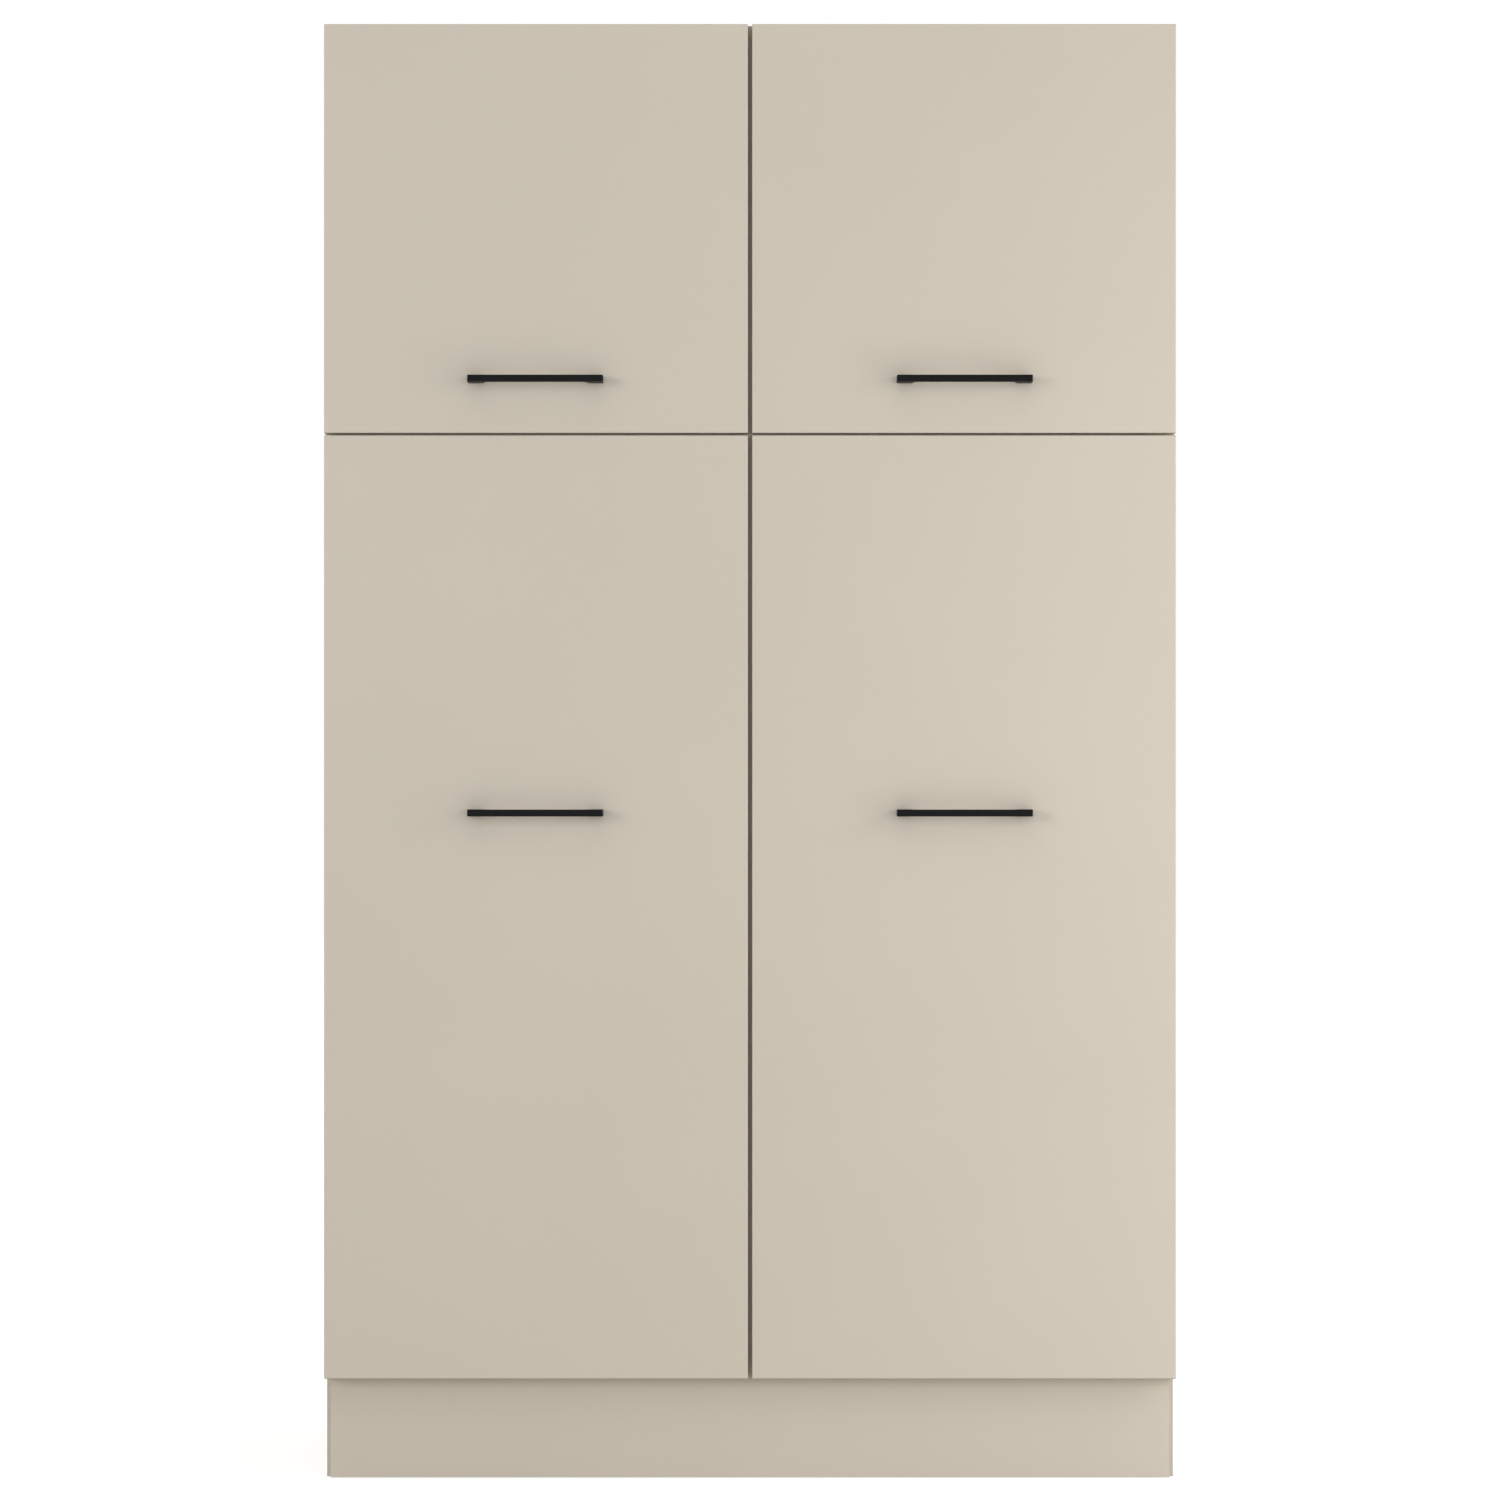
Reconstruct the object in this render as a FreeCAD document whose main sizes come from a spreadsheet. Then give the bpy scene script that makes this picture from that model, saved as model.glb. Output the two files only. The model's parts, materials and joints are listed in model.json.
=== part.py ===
import FreeCAD, Part
import os
import re
import Sketcher
from FreeCAD import Placement, Rotation, Vector

# A tall utility cabinet with four doors, in millimetres. X is to the right, the front faces -Y and Z is up.
# The origin is on the floor, in the middle of the width and of the whole depth, handles included.

# Driving dimensions
DIMENSIONS = {
    # carcass
    "overall_width": 1200,
    "overall_height": 2053,
    "carcass_depth": 560,
    "board": 18,
    "toe_height": 142,
    # doors
    "door_thickness": 18,
    "door_gap": 2.5,
    "door_foot_reveal": 3,
    "center_gap": 6,
    "split_gap": 3.5,
    "lower_door_height": 1328.5,
    "door_edge_radius": 1.2,
    "bumper_diameter": 6,
    "bumper_inset": 20,
    "bumper_edge": 0.6,
    "bumper_clearance": 0.2,
    # plinth
    "plinth_thickness": 16,
    "plinth_setback": 16,
    "plinth_end_reveal": 6,
    "plinth_top_gap": 2,
    "plinth_floor_gap": 1,
    "block_size": 25,
    "support_rear_gap": 60,
    # back
    "back_thickness": 3,
    "groove_depth": 6,
    "groove_slack": 0.15,
    "rail_height": 100,
    # shelves
    "shelf_setback": 20,
    "shelf_rear_gap": 5,
    "shelf_slack": 0.8,
    "shelf_hinge_drop": 60,
    "pin_diameter": 5,
    "pin_depth": 8,
    "pin_reach": 9,
    "pin_width": 8,
    "pin_row_front": 60,
    "pin_row_rear": 60,
    "pin_pitch": 32,
    # handles
    "handle_length": 190,
    "handle_height": 9.6,
    "handle_projection": 35,
    "handle_bar": 9,
    "handle_post_root": 20.5,
    "handle_post_crown": 25.7,
    "handle_corner_radius": 1.5,
    "handle_inner_radius": 4,
    "handle_screw_spacing": 160,
    "handle_screw_diameter": 4,
    "handle_screw_grip": 12,
    "upper_handle_height": 74.6,
    "lower_handle_height": 797,
    # hinges: places along the doors, then the cup let into the door
    "hinge_end_inset": 90,
    "cup_diameter": 35,
    "cup_depth": 13,
    "cup_edge": 3,
    "cup_wall": 1,
    "cup_slack": 0.1,
    "cup_rim_notch": 2,
    "ear_thickness": 1.2,
    "ear_mouth": 9.5,
    "ear_span": 28,
    "ear_reach": 19,
    "ear_screw_offset": 9.5,
    "ear_screw_half_spacing": 22.5,
    # hinges: pivots on the arm, from the side panel's inner face and from the carcass front
    "long_arm_in": 19.4,
    "long_arm_back": 12.1,
    "short_arm_in": 23.6,
    "short_arm_back": 17.1,
    # hinges: pivots in the cup, from the cup's rim and from the door's back face
    "long_cup_in": 8.6,
    "long_cup_deep": 1.2,
    "short_cup_in": 8.9,
    "short_cup_deep": 7.4,
    # hinges: the two links, with the slot that the free pivot slides in
    "long_bend": 8.9,
    "short_bend": 10.3,
    "link_half_width": 2.3,
    "slot_ahead": 2.9,
    "slot_behind": 0.9,
    "slot_clearance": 0.45,
    "short_link_half": 4.3,
    "link_side_gap": 0.4,
    "long_link_sheet": 2.2,
    "pivot_diameter": 2,
    "pivot_slack": 0.06,
    # hinges: arm and mounting plate
    "arm_sheet": 1.7,
    "arm_eye_radius": 2.8,
    "arm_front": 30,
    "arm_rear": 64,
    "arm_crank": 44,
    "arm_foot_gap": 1,
    "plate_bar_height": 12,
    "plate_bar_slack": 0.5,
    "plate_wing_thickness": 3,
    "plate_wing_half_span": 26,
    "plate_wing_front": 29,
    "plate_wing_rear": 45,
    "plate_screw_setback": 37,
    "plate_screw_half_spacing": 16,
    # screws
    "wood_screw_diameter": 3.5,
    "wood_screw_head": 7,
    "wood_screw_head_height": 1.8,
    "wood_screw_grip": 11,
    "machine_screw_head": 8,
    "machine_screw_head_height": 2.6,
    "screw_slack": 0.1,
    # carcass joints
    "joint_front_inset": 70,
    "joint_rear_inset": 90,
    "cam_diameter": 15,
    "cam_depth": 13.5,
    "cam_reach": 24,
    "cam_slot": 2,
    "bolt_shaft_diameter": 6,
    "bolt_neck_diameter": 4,
    "bolt_head_diameter": 6.8,
    "bolt_head_length": 4,
    "bolt_neck_length": 4,
    "bolt_thread_diameter": 5,
    "bolt_thread_depth": 8,
    "joint_slack": 0.1,
    "dowel_diameter": 8,
    "dowel_pitch": 32,
    "dowel_in_board": 19,
    "dowel_in_panel": 8.4,
    "long_screw_diameter": 6.8,
    "long_screw_head": 10,
    "long_screw_head_height": 4,
    "long_screw_length": 50,
    # wall brackets
    "bracket_width": 40,
    "bracket_thickness": 3,
    "bracket_leg": 45,
    "bracket_drop": 60,
    "wall_hole_diameter": 6.5,
    "wall_hole_drop": 40,
    "bracket_screw_setback": 28,
    "bracket_screw_half_spacing": 10,
}

doc = FreeCAD.newDocument("utility_cabinet")
dims = doc.addObject("Spreadsheet::Sheet", "dims")
for row, (alias, value) in enumerate(DIMENSIONS.items(), start=1):
    dims.set(f"A{row}", alias)
    dims.set(f"B{row}", str(value))
    dims.setAlias(f"B{row}", alias)
doc.recompute()

# Places worked out from the driving dimensions
HALF = "(overall_width / 2)"
INNER = "(overall_width / 2 - board)"
REAR = "((carcass_depth + door_gap + door_thickness + handle_projection) / 2)"
FRONT = f"({REAR} - carcass_depth)"
DOOR_BACK = f"({FRONT} - door_gap)"
DOOR_FRONT = f"({DOOR_BACK} - door_thickness)"
BACK_FACE = f"({REAR} - board - back_thickness)"
PLINTH_BACK = f"({FRONT} + plinth_setback + plinth_thickness)"
BOTTOM_TOP = "(toe_height + board)"
TOP_UNDER = "(overall_height - board)"
DOOR_WIDTH = "((overall_width - center_gap) / 2)"
LOWER_FOOT = "(toe_height + door_foot_reveal)"
LOWER_HEAD = f"({LOWER_FOOT} + lower_door_height)"
UPPER_FOOT = f"({LOWER_HEAD} + split_gap)"
UPPER_DOOR_HEIGHT = f"(overall_height - {UPPER_FOOT})"
FIXED_UNDER = f"({LOWER_HEAD} + split_gap / 2 - board / 2)"
LOWER_HINGES = (f"({LOWER_FOOT} + hinge_end_inset)", f"({LOWER_FOOT} + lower_door_height / 2)",
                f"({LOWER_HEAD} - hinge_end_inset)")
UPPER_HINGES = (f"({UPPER_FOOT} + hinge_end_inset)", "(overall_height - hinge_end_inset)")
SHELF_MID = f"({LOWER_HINGES[1]} - shelf_hinge_drop)"
SHELF_LOW = f"(({BOTTOM_TOP} + {SHELF_MID} - board) / 2)"
SHELF_HIGH = f"(({LOWER_HINGES[1]} + {LOWER_HINGES[2]} - board) / 2)"
SHELF_UPPER = f"(({UPPER_HINGES[0]} + {UPPER_HINGES[1]} - board) / 2)"
PIN_ROWS = (f"({FRONT} + pin_row_front)", f"({BACK_FACE} - pin_row_rear)")
JOINT_ROWS = (f"({FRONT} + joint_front_inset)", f"({REAR} - joint_rear_inset)")
HANDLE_MIDDLE = f"(center_gap / 2 + {DOOR_WIDTH} / 2)"
# Wall brackets stand in the middle of each half
BRACKET_MIDDLE = f"(({INNER} + board / 2) / 2)"
WALL_HOLE_HEIGHT = f"({TOP_UNDER} - wall_hole_drop)"
WOOD_BORE = "(wood_screw_diameter / 2 + screw_slack)"
HANDLE_BORE = "(handle_screw_diameter / 2 + screw_slack)"

# Turns that carry a piece drawn along +Z to another direction
UPRIGHT = Rotation()
TO_LEFT = Rotation(Vector(0, 1, 0), -90)
TO_RIGHT = Rotation(Vector(0, 1, 0), 90)
TO_BACK = Rotation(Vector(1, 0, 0), -90)
TO_FRONT = Rotation(Vector(1, 0, 0), 90)
DOWNWARD = Rotation(Vector(1, 0, 0), 180)
ABOUT = Rotation(Vector(0, 0, 1), 180)

NAME = re.compile(r"[a-z][a-z0-9_]*")
# Two places closer than this are the same
NEAR = 1e-4
parts = {}


def bound(text):
    """The text with each dimension's name turned into a reference to its cell."""
    return NAME.sub(lambda m: "dims." + m.group() if m.group() in DIMENSIONS else m.group(), str(text))


def bind(thing, prop, text):
    thing.setExpression(prop, bound(text))


def number(text):
    """What an expression is worth now."""
    return float(dims.evalExpression(bound(text)))


def place(thing, x, y, z, prop="Placement"):
    for axis, text in zip("xyz", (x, y, z)):
        bind(thing, f"{prop}.Base.{axis}", text)


def keep(label, thing):
    """Name a finished sub-part, so that it is written to its own file."""
    thing.Label = label
    parts[label] = thing
    return thing


# Simple solids and booleans
def box(name, corner, size):
    thing = doc.addObject("Part::Box", name)
    for prop, text in zip(("Length", "Width", "Height"), size):
        bind(thing, prop, text)
    place(thing, *corner)
    return thing


def rod(name, start, radius, length, turn=UPRIGHT):
    thing = doc.addObject("Part::Cylinder", name)
    bind(thing, "Radius", radius)
    bind(thing, "Height", length)
    thing.Placement = Placement(Vector(), turn)
    place(thing, *start)
    return thing


def group(name, things):
    thing = doc.addObject("Part::Compound", name)
    thing.Links = list(things)
    return thing


def fuse(name, things):
    thing = doc.addObject("Part::MultiFuse", name)
    thing.Shapes = list(things)
    return thing


def cut(name, base, tools):
    thing = doc.addObject("Part::Cut", name)
    thing.Base = base
    thing.Tool = tools[0] if len(tools) == 1 else group(name + "_tools", tools)
    return thing


def mirrored(name, source, normal=Vector(1, 0, 0)):
    thing = doc.addObject("Part::Mirroring", name)
    thing.Source = source
    thing.Normal = normal
    return thing


def copies(name, source, places):
    """A group of copies of one piece; a place is x, y, z and a turn."""
    made = []
    for x, y, z, turn in places:
        link = doc.addObject("App::Link", name + "_copy")
        link.LinkedObject = source
        link.LinkTransform = True
        link.LinkPlacement = Placement(Vector(), turn)
        place(link, x, y, z, "LinkPlacement")
        made.append(link)
    return group(name, made)


def both_sides(name, left):
    return group(name, (left, mirrored(name + "_right", left)))


# Bodies drawn from sketches
def new_body(name, x="0", y="0", z="0"):
    body = doc.addObject("PartDesign::Body", name)
    place(body, x, y, z)
    return body


def sketch(body, role):
    drawing = body.newObject("Sketcher::SketchObject", body.Name + "_sketch")
    plane = next(f for f in body.Origin.OriginFeatures if f.Role == role)
    drawing.AttachmentSupport = [(plane, "")]
    drawing.MapMode = "FlatFace"
    return drawing


def hold(drawing, line, point, across, up):
    """Fix a point of the sketch by its two distances from the origin."""
    for kind, axis, text in (("DistanceX", -2, across), ("DistanceY", -1, up)):
        value = number(text)
        if value == 0:
            drawing.addConstraint(Sketcher.Constraint("PointOnObject", line, point, axis))
        else:
            index = drawing.addConstraint(Sketcher.Constraint(kind, -1, 1, line, point, value))
            drawing.setExpression(f"Constraints[{index}]", bound(text))


def outline(drawing, points):
    """A closed line through the points."""
    corners = [Vector(number(across), number(up), 0) for across, up in points]
    first = drawing.GeometryCount
    count = len(points)
    for i in range(count):
        drawing.addGeometry(Part.LineSegment(corners[i], corners[(i + 1) % count]))
    for i in range(count):
        drawing.addConstraint(Sketcher.Constraint("Coincident", first + i, 2, first + (i + 1) % count, 1))
    for i, (across, up) in enumerate(points):
        hold(drawing, first + i, 1, across, up)


def circles(drawing, centers, radius):
    for across, up in centers:
        middle = Vector(number(across), number(up), 0)
        line = drawing.addGeometry(Part.Circle(middle, Vector(0, 0, 1), number(radius)))
        hold(drawing, line, 3, across, up)
        index = drawing.addConstraint(Sketcher.Constraint("Radius", line, number(radius)))
        drawing.setExpression(f"Constraints[{index}]", bound(radius))


def pad(body, drawing, length):
    feature = body.newObject("PartDesign::Pad", body.Name + "_pad")
    feature.Profile = drawing
    bind(feature, "Length", length)
    doc.recompute()
    return feature


def drill(body, role, centers, radius, depth):
    """Round pockets that run from the plane along its normal, into the solid there."""
    drawing = sketch(body, role)
    circles(drawing, centers, radius)
    feature = body.newObject("PartDesign::Pocket", body.Name + "_pocket")
    feature.Profile = drawing
    feature.Reversed = True
    bind(feature, "Length", depth)
    doc.recompute()
    return feature


def round_edges(body, feature, wanted, radius):
    """Round the edges for which wanted(edge) holds."""
    names = [f"Edge{i}" for i, edge in enumerate(feature.Shape.Edges, start=1) if wanted(edge)]
    rounded = body.newObject("PartDesign::Fillet", body.Name + "_fillet")
    rounded.Base = (feature, names)
    bind(rounded, "Radius", radius)
    doc.recompute()
    return rounded


def turned(name, profile):
    """A solid of revolution about Z; the profile is a list of radius and height."""
    body = new_body(name)
    drawing = sketch(body, "XZ_Plane")
    outline(drawing, profile)
    feature = body.newObject("PartDesign::Revolution", name + "_turning")
    feature.Profile = drawing
    feature.ReferenceAxis = (drawing, ["V_Axis"])
    feature.Angle = 360
    return body


def screw(name, head, head_height, shank, length):
    """A pan-head screw that points up, with its seat at Z 0."""
    return turned(name, (("0", f"-{head_height}"), (f"{head} / 2", f"-{head_height}"), (f"{head} / 2", "0"),
                         (f"{shank} / 2", "0"), (f"{shank} / 2", length), ("0", length)))


def wood_screw(name, length):
    return screw(name, "wood_screw_head", "wood_screw_head_height", "wood_screw_diameter", length)


# Carcass joints: a cam, its bolt and a dowel, drawn at the joint's plane with the held board on the +X side
def joint_bore():
    bolt = rod("bolt_bore", ("0", "0", "0"), "bolt_head_diameter / 2 + joint_slack", "cam_reach", TO_RIGHT)
    thread = rod("thread_bore", ("0", "0", "0"), "bolt_thread_diameter / 2 + joint_slack / 2",
                 "bolt_thread_depth + joint_slack", TO_LEFT)
    cam = rod("cam_bore", ("cam_reach", "0", "-board / 2"), "cam_diameter / 2 + joint_slack", "cam_depth")
    dowel = rod("dowel_bore", ("-dowel_in_panel - joint_slack", "dowel_pitch", "0"),
                "dowel_diameter / 2 + joint_slack",
                "dowel_in_panel + dowel_in_board + 2 * joint_slack", TO_RIGHT)
    return group("joint_bore", (fuse("bolt_and_cam_bore", (bolt, thread, cam)), dowel))


def cam_lock():
    drum = rod("cam_drum", ("cam_reach", "0", "-board / 2"), "cam_diameter / 2", "cam_depth - joint_slack")
    passage = rod("cam_passage", ("cam_reach - cam_diameter", "0", "0"),
                  "bolt_head_diameter / 2 + joint_slack",
                  "cam_diameter + bolt_head_length / 2 + joint_slack", TO_RIGHT)
    slot = box("cam_driver_slot", ("cam_reach - cam_diameter / 4", "-cam_slot / 2", "-board / 2"),
               ("cam_diameter / 2", "cam_slot", "cam_slot"))
    return cut("cam_lock", drum, (passage, slot))


def cam_bolt():
    head_end = "(cam_reach + bolt_head_length / 2)"
    neck_end = f"({head_end} - bolt_head_length)"
    shaft_end = f"({neck_end} - bolt_neck_length)"
    profile = [("0", "-bolt_thread_depth")]
    for diameter, start, end in (("bolt_thread_diameter", "-bolt_thread_depth", "0"),
                                 ("bolt_shaft_diameter", "0", shaft_end),
                                 ("bolt_neck_diameter", shaft_end, neck_end),
                                 ("bolt_head_diameter", neck_end, head_end)):
        profile += [(f"{diameter} / 2", start), (f"{diameter} / 2", end)]
    profile.append(("0", head_end))
    return copies("cam_bolt", turned("cam_bolt_turned", profile), (("0", "0", "0", TO_RIGHT),))


def dowel():
    return rod("dowel", ("-dowel_in_panel", "dowel_pitch", "0"), "dowel_diameter / 2",
               "dowel_in_panel + dowel_in_board", TO_RIGHT)


joint_places = []
for height in (f"({TOP_UNDER} + board / 2)", "(toe_height + board / 2)", f"({FIXED_UNDER} + board / 2)"):
    joint_places += [(f"-{INNER}", row, height, UPRIGHT) for row in JOINT_ROWS]
joint_places += [("-board / 2", row, f"({FIXED_UNDER} + board / 2)", ABOUT) for row in JOINT_ROWS]
joint_bores_left = copies("joint_bores_left", joint_bore(), joint_places)
joint_bores_right = mirrored("joint_bores_right", joint_bores_left)
for label, piece in (("cam_locks", cam_lock()), ("cam_bolts", cam_bolt()), ("dowels", dowel())):
    keep(label, both_sides(label, copies(label + "_left", piece, joint_places)))


# Long screws that hold the partition between the top and bottom panels
def long_screw(name, slack):
    shank = f"(long_screw_diameter / 2 + {slack})"
    head = f"(long_screw_head / 2 + {slack})"
    tip = f"(long_screw_length + {slack})"
    return turned(name, (("0", "0"), (head, "0"), (shank, "long_screw_head_height"),
                         (shank, tip), ("0", tip)))


long_screw_places = [("0", row, "toe_height", UPRIGHT) for row in JOINT_ROWS]
long_screw_places += [("0", row, "overall_height", DOWNWARD) for row in JOINT_ROWS]
long_screw_bores = copies("long_screw_bores", long_screw("long_screw_bore", "joint_slack"),
                          long_screw_places)
keep("partition_screws", copies("partition_screws", long_screw("long_screw", "0"), long_screw_places))

# Shelf pins and the rows of holes that they go into; Z 0 is the underside of the shelf
SHELVES = {"lower": SHELF_LOW, "middle": SHELF_MID, "high": SHELF_HIGH, "upper": SHELF_UPPER}
pin_places = [(x, row, height, turn) for height in SHELVES.values() for row in PIN_ROWS
              for x, turn in ((f"-{INNER}", UPRIGHT), ("-board / 2", ABOUT))]
PIN_STEPS = (-2, -1, 0, 1, 2)
pin_column = group("pin_column", [
    rod("pin_bore", ("0", "0", f"{step} * pin_pitch - pin_diameter / 2"),
        "pin_diameter / 2 + joint_slack / 2", "pin_depth", TO_LEFT) for step in PIN_STEPS])
shelf_pin = fuse("shelf_pin", (
    rod("pin_peg", ("0", "0", "-pin_diameter / 2"), "pin_diameter / 2", "pin_depth - joint_slack", TO_LEFT),
    box("pin_tongue", ("0", "-pin_width / 2", "-pin_diameter"),
        ("pin_reach", "pin_width", "pin_diameter"))))
pin_bores_left = copies("pin_bores_left", pin_column, pin_places)
pin_bores_right = mirrored("pin_bores_right", pin_bores_left)
keep("shelf_pins", both_sides("shelf_pins", copies("shelf_pins_left", shelf_pin, pin_places)))

# Back panels in their grooves, with rails behind them
groove_left = f"(-{INNER} - groove_depth)"
groove_right = "(groove_depth - board / 2)"
groove = box("back_groove", (groove_left, f"{BACK_FACE} - groove_slack", f"{BOTTOM_TOP} - groove_depth"),
             (f"{groove_right} - {groove_left}", "back_thickness + 2 * groove_slack",
              f"{TOP_UNDER} - {BOTTOM_TOP} + 2 * groove_depth"))
groove_right_half = mirrored("back_groove_right", groove)
wall_hole = rod("wall_hole", (f"-{BRACKET_MIDDLE}", f"{BACK_FACE} - bracket_thickness", WALL_HOLE_HEIGHT),
                "wall_hole_diameter / 2", "bracket_thickness + back_thickness + board", TO_BACK)
back_sheet = box("back_sheet", (f"{groove_left} + groove_slack", BACK_FACE,
                                f"{BOTTOM_TOP} - groove_depth + groove_slack"),
                 (f"{groove_right} - {groove_left} - 2 * groove_slack", "back_thickness",
                  f"{TOP_UNDER} - {BOTTOM_TOP} + 2 * (groove_depth - groove_slack)"))
back_panel_left = keep("back_panel_left", cut("back_panel_left", back_sheet, (wall_hole,)))
keep("back_panel_right", mirrored("back_panel_right", back_panel_left))
rail_size = (f"{INNER} - board / 2", "board", "rail_height")
upper_rail = box("upper_rail", (f"-{INNER}", f"{REAR} - board", f"{TOP_UNDER} - rail_height"), rail_size)
lower_rail = box("lower_rail", (f"-{INNER}", f"{REAR} - board", BOTTOM_TOP), rail_size)
rails_left = group("rails_left", (cut("upper_rail_drilled", upper_rail, (wall_hole,)), lower_rail))
keep("back_rails", both_sides("back_rails", rails_left))

# Wall brackets under the top panel, and their screws
bracket_body = new_body("wall_bracket", f"-{BRACKET_MIDDLE} - bracket_width / 2", BACK_FACE, TOP_UNDER)
bracket_sketch = sketch(bracket_body, "YZ_Plane")
outline(bracket_sketch, (("0", "0"), ("-bracket_leg", "0"), ("-bracket_leg", "-bracket_thickness"),
                         ("-bracket_thickness", "-bracket_thickness"),
                         ("-bracket_thickness", "-bracket_drop"), ("0", "-bracket_drop")))
pad(bracket_body, bracket_sketch, "bracket_width")
bracket_screw_places = [
    (f"-{BRACKET_MIDDLE} {sign} bracket_screw_half_spacing", f"{BACK_FACE} - bracket_screw_setback",
     f"{TOP_UNDER} - bracket_thickness", UPRIGHT) for sign in "+-"]
bracket_screw = wood_screw("bracket_screw", "bracket_thickness + wood_screw_grip")
bracket_bore = rod("bracket_bore", ("0", "0", "0"), WOOD_BORE,
                   "bracket_thickness + wood_screw_grip + screw_slack")
bracket_bores = copies("bracket_bores", bracket_bore, bracket_screw_places)
bracket_left = cut("wall_bracket_left", bracket_body, (wall_hole, bracket_bores))
keep("wall_brackets", both_sides("wall_brackets", bracket_left))
bracket_screws_left = copies("bracket_screws_left", bracket_screw, bracket_screw_places)
keep("wall_bracket_screws", both_sides("wall_bracket_screws", bracket_screws_left))

# Hinges. A hinge is drawn with X inward from the door's outer edge, -Y forward from the carcass front,
# and Z 0 in its middle. A door hangs on a long and a short link between the arm and the cup.
LONG_ARM = ("(board + long_arm_in)", "long_arm_back")
SHORT_ARM = ("(board + short_arm_in)", "short_arm_back")
LONG_CUP = ("(cup_edge + long_cup_in)", "(-door_gap - long_cup_deep)")
SHORT_CUP = ("(cup_edge + short_cup_in)", "(-door_gap - short_cup_deep)")
CUP_MIDDLE = "(cup_edge + cup_diameter / 2)"
PIVOT = "(pivot_diameter / 2)"
LONG_LINK_LOW = "(short_link_half + link_side_gap)"
LONG_LINK_HIGH = f"({LONG_LINK_LOW} + long_link_sheet)"
ARM_INNER = f"({LONG_LINK_HIGH} + link_side_gap)"
ARM_OUTER = f"({ARM_INNER} + arm_sheet)"
WEB_UNDER = "(board + plate_bar_height)"
ARM_FOOT = "(board + plate_wing_thickness + arm_foot_gap)"
ARM_SCREW_SETBACK = "((arm_crank + arm_rear) / 2)"


def way(start, end):
    """The two components and the length of the way between two points."""
    across = f"({end[0]} - {start[0]})"
    along = f"({end[1]} - {start[1]})"
    return across, along, f"hypot({across}; {along})"


def bend_point(start, end, bend):
    """The point beside the middle of a link, towards the door's front, where the link bends."""
    across, along, length = way(start, end)
    return (f"(({start[0]} + {end[0]}) / 2 - {bend} * {along} / {length})",
            f"(({start[1]} + {end[1]}) / 2 + {bend} * {across} / {length})")


def beyond(start, end, extra):
    """The point past the end of the way between two points."""
    across, along, length = way(start, end)
    return f"({end[0]} + {extra} * {across} / {length})", f"({end[1]} + {extra} * {along} / {length})"


def strip(name, start, end, half, low, high):
    """A flat bar between two points, without its round ends."""
    across, along, length = way(start, end)
    x = f"{start[0]} + {half} * {along} / {length}"
    y = f"{start[1]} - {half} * {across} / {length}"
    thing = box(name, (x, y, low), (length, f"2 * {half}", f"{high} - {low}"))
    bind(thing, "Placement.Rotation.Angle", f"atan2({along}; {across})")
    return thing


def bent_bar(name, points, half, low, high):
    """Flat bars between the points, with a round end at each."""
    pieces = [strip(name + "_strip", a, b, half, low, high) for a, b in zip(points, points[1:])]
    pieces += [rod(name + "_end", (x, y, low), half, f"{high} - {low}") for x, y in points]
    return fuse(name, pieces)


def pivot_rod(name, point, radius, low, high):
    return rod(name, (*point, low), radius, f"{high} - {low}")


def long_link():
    points = (LONG_ARM, bend_point(LONG_ARM, LONG_CUP, "long_bend"), LONG_CUP)
    blank = bent_bar("long_link_blank", points, "link_half_width", LONG_LINK_LOW, LONG_LINK_HIGH)
    eyes = [pivot_rod("long_link_eye", p, f"{PIVOT} + pivot_slack", LONG_LINK_LOW, LONG_LINK_HIGH)
            for p in (LONG_ARM, LONG_CUP)]
    plate = cut("long_link_plate", blank, eyes)
    return group("long_link", (plate, mirrored("long_link_far_plate", plate, Vector(0, 0, 1))))


def short_link():
    low, high = "-short_link_half", "short_link_half"
    slot_start = beyond(SHORT_ARM, SHORT_CUP, "-slot_behind")
    slot_end = beyond(SHORT_ARM, SHORT_CUP, "slot_ahead")
    points = (SHORT_ARM, bend_point(SHORT_ARM, SHORT_CUP, "short_bend"), SHORT_CUP, slot_end)
    blank = bent_bar("short_link_blank", points, "link_half_width", low, high)
    eye = pivot_rod("short_link_eye", SHORT_ARM, f"{PIVOT} + pivot_slack", low, high)
    slot = bent_bar("short_link_slot", (slot_start, slot_end), f"({PIVOT} + slot_clearance)", low, high)
    return cut("short_link", blank, (eye, slot))


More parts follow.
